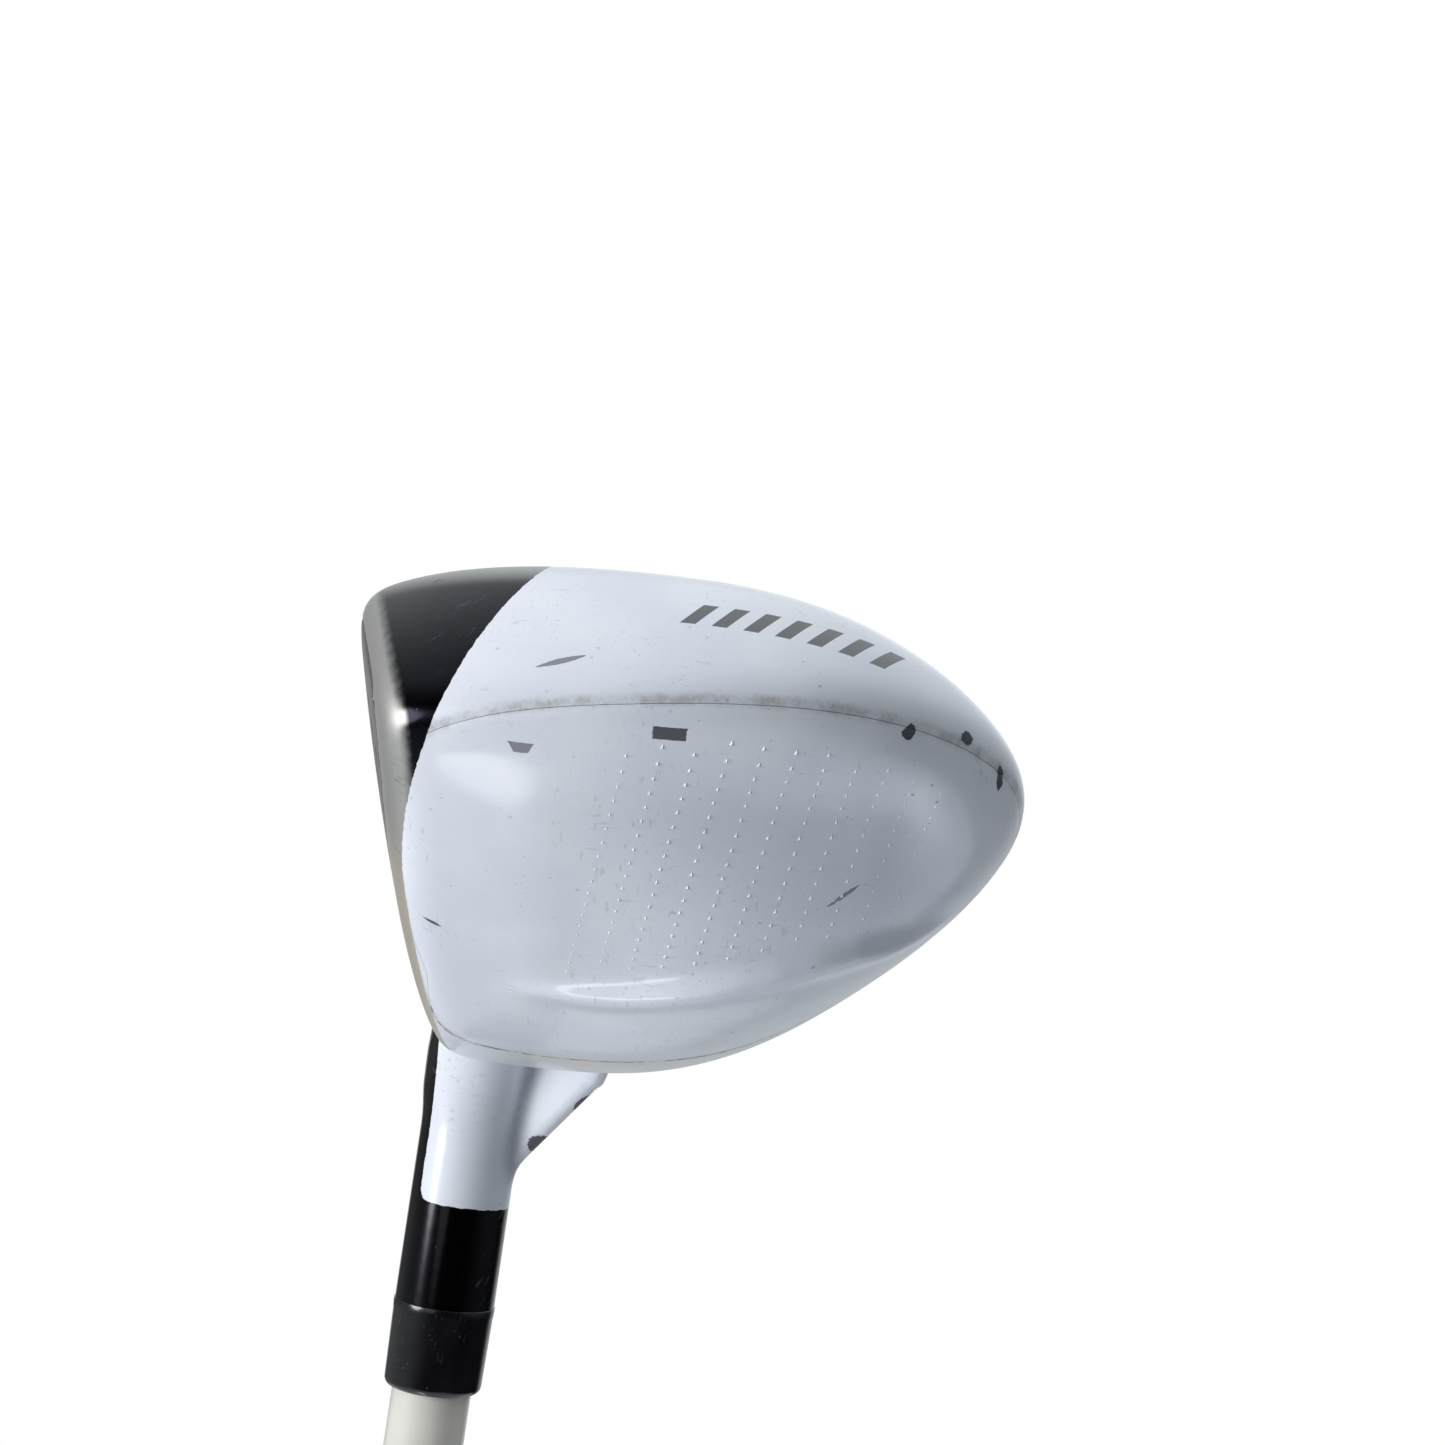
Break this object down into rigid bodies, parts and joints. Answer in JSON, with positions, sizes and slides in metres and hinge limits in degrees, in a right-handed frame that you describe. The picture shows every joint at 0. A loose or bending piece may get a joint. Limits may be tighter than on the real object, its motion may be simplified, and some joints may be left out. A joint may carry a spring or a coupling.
{
  "type": "hybrid golf club",
  "caption": "Right-handed hybrid golf club: hollow head with a raised crown panel, bonded hosel and ferrule, tapered shaft and slip-on grip.",
  "frame": {"origin": "centre of the grip cap's end face, at the mouth of the vent hole", "axes": "+Z along the shaft from the grip to the head, +X to the back of the head, so the face looks along -X; the toe points along -Y and up"},
  "size_m": [0.0766, 0.0929, 1.0545],
  "materials": {
    "head_white": "satin white paint over cast steel, black at the front",
    "crown_white": "satin white paint",
    "face_steel": "dark plated steel with fine score lines",
    "glue": "set hot-melt glue",
    "ferrule_black": "polished black, lightly scuffed",
    "epoxy": "set adhesive",
    "brass_weight": "turned",
    "shaft_white": "gloss cream-white lacquer over carbon fibre",
    "tape": "paper tape",
    "grip_rubber": "moulded black rubber with a fine tread",
    "cap_rubber": "hard moulded black rubber"
  },
  "bodies": {
    "root": {"head_body": "head_white", "crown": "crown_white", "face_plate": "face_steel", "damping_glue": "glue", "ferrule": "ferrule_black", "epoxy_bond": "epoxy", "tip_weight": "brass_weight", "shaft": "shaft_white", "grip_tape": "tape", "grip_sleeve": "grip_rubber", "grip_cap": "cap_rubber"}
  },
  "joints": []
}
